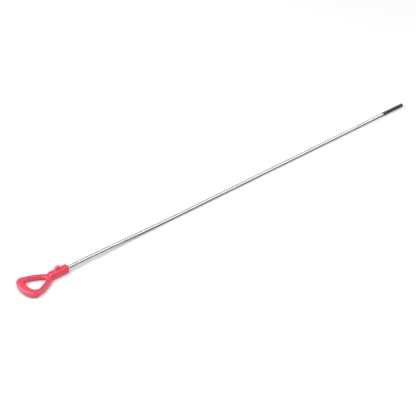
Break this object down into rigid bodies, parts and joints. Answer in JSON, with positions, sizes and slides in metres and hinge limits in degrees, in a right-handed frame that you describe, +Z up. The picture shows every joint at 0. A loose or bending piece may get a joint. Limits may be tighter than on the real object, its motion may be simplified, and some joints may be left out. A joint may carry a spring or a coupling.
{
  "type": "flexible dipstick tool",
  "caption": "Long flexible dipstick tool: red ring handle with a boxy stem, a springy silver coil shaft, and a slim black gauge tip in a crimped collar.",
  "frame": {"origin": "middle of the footprint, on the surface that the tool lies on", "axes": "+X along the shaft towards the gauge tip, +Z up out of the ring's flat face, +Y across the ring"},
  "size_m": [1.22, 0.0704, 0.0211],
  "materials": {
    "red_moulding": "semi-gloss moulded",
    "coil_steel": "bright drawn wire",
    "strand_steel": "stranded, oiled",
    "plated_steel": "zinc plated",
    "ferrule_metal": "crimped, satin",
    "black_nylon": "satin moulded nylon"
  },
  "bodies": {
    "grip": {"handle": "red_moulding", "handle_insert": "plated_steel", "upper_nipple": "plated_steel", "sheath_00": "coil_steel", "core_00": "strand_steel"},
    "shaft_01": {"sheath_01": "coil_steel", "core_01": "strand_steel"},
    "shaft_02": {"sheath_02": "coil_steel", "core_02": "strand_steel"},
    "shaft_03": {"sheath_03": "coil_steel", "core_03": "strand_steel"},
    "shaft_04": {"sheath_04": "coil_steel", "core_04": "strand_steel"},
    "shaft_05": {"sheath_05": "coil_steel", "core_05": "strand_steel"},
    "shaft_06": {"sheath_06": "coil_steel", "core_06": "strand_steel"},
    "shaft_07": {"sheath_07": "coil_steel", "core_07": "strand_steel"},
    "shaft_08": {"sheath_08": "coil_steel", "core_08": "strand_steel"},
    "shaft_09": {"sheath_09": "coil_steel", "core_09": "strand_steel"},
    "shaft_10": {"sheath_10": "coil_steel", "core_10": "strand_steel"},
    "shaft_11": {"sheath_11": "coil_steel", "core_11": "strand_steel"},
    "shaft_12": {"sheath_12": "coil_steel", "core_12": "strand_steel"},
    "shaft_13": {"sheath_13": "coil_steel", "core_13": "strand_steel"},
    "shaft_14": {"sheath_14": "coil_steel", "core_14": "strand_steel"},
    "shaft_15": {"sheath_15": "coil_steel", "core_15": "strand_steel"},
    "shaft_16": {"sheath_16": "coil_steel", "core_16": "strand_steel"},
    "shaft_17": {"sheath_17": "coil_steel", "core_17": "strand_steel"},
    "shaft_18": {"sheath_18": "coil_steel", "core_18": "strand_steel"},
    "shaft_19": {"sheath_19": "coil_steel", "core_19": "strand_steel"},
    "shaft_20": {"sheath_20": "coil_steel", "core_20": "strand_steel"},
    "shaft_21": {"sheath_21": "coil_steel", "core_21": "strand_steel"},
    "shaft_22": {"sheath_22": "coil_steel", "core_22": "strand_steel"},
    "shaft_23": {"sheath_23": "coil_steel", "core_23": "strand_steel"},
    "tip": {"sheath_24": "coil_steel", "core_24": "strand_steel", "tip_ferrule": "ferrule_metal", "lower_nipple": "plated_steel", "gauge_tip": "black_nylon"}
  },
  "joints": [
    {"name": "flex_01", "type": "hinge", "parent": "grip", "child": "shaft_01", "pos_m": [-0.45, 0, 0.008], "axis": [0, 0, 1], "range_deg": [-10, 10], "stiffness_Nm_per_rad": 0.2},
    {"name": "flex_02", "type": "hinge", "parent": "shaft_01", "child": "shaft_02", "pos_m": [-0.40913, 0, 0.00771], "axis": [0, 0, 1], "range_deg": [-10, 10], "stiffness_Nm_per_rad": 0.2},
    {"name": "flex_03", "type": "hinge", "parent": "shaft_02", "child": "shaft_03", "pos_m": [-0.36826, 0, 0.00697], "axis": [0, 0, 1], "range_deg": [-10, 10], "stiffness_Nm_per_rad": 0.2},
    {"name": "flex_04", "type": "hinge", "parent": "shaft_03", "child": "shaft_04", "pos_m": [-0.32739, 0, 0.00599], "axis": [0, 0, 1], "range_deg": [-10, 10], "stiffness_Nm_per_rad": 0.2},
    {"name": "flex_05", "type": "hinge", "parent": "shaft_04", "child": "shaft_05", "pos_m": [-0.28652, 0, 0.00497], "axis": [0, 0, 1], "range_deg": [-10, 10], "stiffness_Nm_per_rad": 0.2},
    {"name": "flex_06", "type": "hinge", "parent": "shaft_05", "child": "shaft_06", "pos_m": [-0.24565, 0, 0.00412], "axis": [0, 0, 1], "range_deg": [-10, 10], "stiffness_Nm_per_rad": 0.2},
    {"name": "flex_07", "type": "hinge", "parent": "shaft_06", "child": "shaft_07", "pos_m": [-0.20478, 0, 0.00364], "axis": [0, 0, 1], "range_deg": [-10, 10], "stiffness_Nm_per_rad": 0.2},
    {"name": "flex_08", "type": "hinge", "parent": "shaft_07", "child": "shaft_08", "pos_m": [-0.16391, 0, 0.0036], "axis": [0, 0, 1], "range_deg": [-10, 10], "stiffness_Nm_per_rad": 0.2},
    {"name": "flex_09", "type": "hinge", "parent": "shaft_08", "child": "shaft_09", "pos_m": [-0.12304, 0, 0.0036], "axis": [0, 0, 1], "range_deg": [-10, 10], "stiffness_Nm_per_rad": 0.2},
    {"name": "flex_10", "type": "hinge", "parent": "shaft_09", "child": "shaft_10", "pos_m": [-0.08217, 0, 0.0036], "axis": [0, 0, 1], "range_deg": [-10, 10], "stiffness_Nm_per_rad": 0.2},
    {"name": "flex_11", "type": "hinge", "parent": "shaft_10", "child": "shaft_11", "pos_m": [-0.0413, 0, 0.0036], "axis": [0, 0, 1], "range_deg": [-10, 10], "stiffness_Nm_per_rad": 0.2},
    {"name": "flex_12", "type": "hinge", "parent": "shaft_11", "child": "shaft_12", "pos_m": [-0.00044, 0, 0.0036], "axis": [0, 0, 1], "range_deg": [-10, 10], "stiffness_Nm_per_rad": 0.2},
    {"name": "flex_13", "type": "hinge", "parent": "shaft_12", "child": "shaft_13", "pos_m": [0.04043, 0, 0.0036], "axis": [0, 0, 1], "range_deg": [-10, 10], "stiffness_Nm_per_rad": 0.2},
    {"name": "flex_14", "type": "hinge", "parent": "shaft_13", "child": "shaft_14", "pos_m": [0.0813, 0, 0.0036], "axis": [0, 0, 1], "range_deg": [-10, 10], "stiffness_Nm_per_rad": 0.2},
    {"name": "flex_15", "type": "hinge", "parent": "shaft_14", "child": "shaft_15", "pos_m": [0.12217, 0, 0.0036], "axis": [0, 0, 1], "range_deg": [-10, 10], "stiffness_Nm_per_rad": 0.2},
    {"name": "flex_16", "type": "hinge", "parent": "shaft_15", "child": "shaft_16", "pos_m": [0.16304, 0, 0.0036], "axis": [0, 0, 1], "range_deg": [-10, 10], "stiffness_Nm_per_rad": 0.2},
    {"name": "flex_17", "type": "hinge", "parent": "shaft_16", "child": "shaft_17", "pos_m": [0.20391, 0, 0.0036], "axis": [0, 0, 1], "range_deg": [-10, 10], "stiffness_Nm_per_rad": 0.2},
    {"name": "flex_18", "type": "hinge", "parent": "shaft_17", "child": "shaft_18", "pos_m": [0.24478, 0, 0.0036], "axis": [0, 0, 1], "range_deg": [-10, 10], "stiffness_Nm_per_rad": 0.2},
    {"name": "flex_19", "type": "hinge", "parent": "shaft_18", "child": "shaft_19", "pos_m": [0.28565, 0, 0.0036], "axis": [0, 0, 1], "range_deg": [-10, 10], "stiffness_Nm_per_rad": 0.2},
    {"name": "flex_20", "type": "hinge", "parent": "shaft_19", "child": "shaft_20", "pos_m": [0.32652, 0, 0.0036], "axis": [0, 0, 1], "range_deg": [-10, 10], "stiffness_Nm_per_rad": 0.2},
    {"name": "flex_21", "type": "hinge", "parent": "shaft_20", "child": "shaft_21", "pos_m": [0.36739, 0, 0.0036], "axis": [0, 0, 1], "range_deg": [-10, 10], "stiffness_Nm_per_rad": 0.2},
    {"name": "flex_22", "type": "hinge", "parent": "shaft_21", "child": "shaft_22", "pos_m": [0.40826, 0, 0.00362], "axis": [0, 0, 1], "range_deg": [-10, 10], "stiffness_Nm_per_rad": 0.2},
    {"name": "flex_23", "type": "hinge", "parent": "shaft_22", "child": "shaft_23", "pos_m": [0.44913, 0, 0.00411], "axis": [0, 0, 1], "range_deg": [-10, 10], "stiffness_Nm_per_rad": 0.2},
    {"name": "flex_24", "type": "hinge", "parent": "shaft_23", "child": "tip", "pos_m": [0.49, 0, 0.0045], "axis": [0, 0, 1], "range_deg": [-10, 10], "stiffness_Nm_per_rad": 0.2}
  ]
}
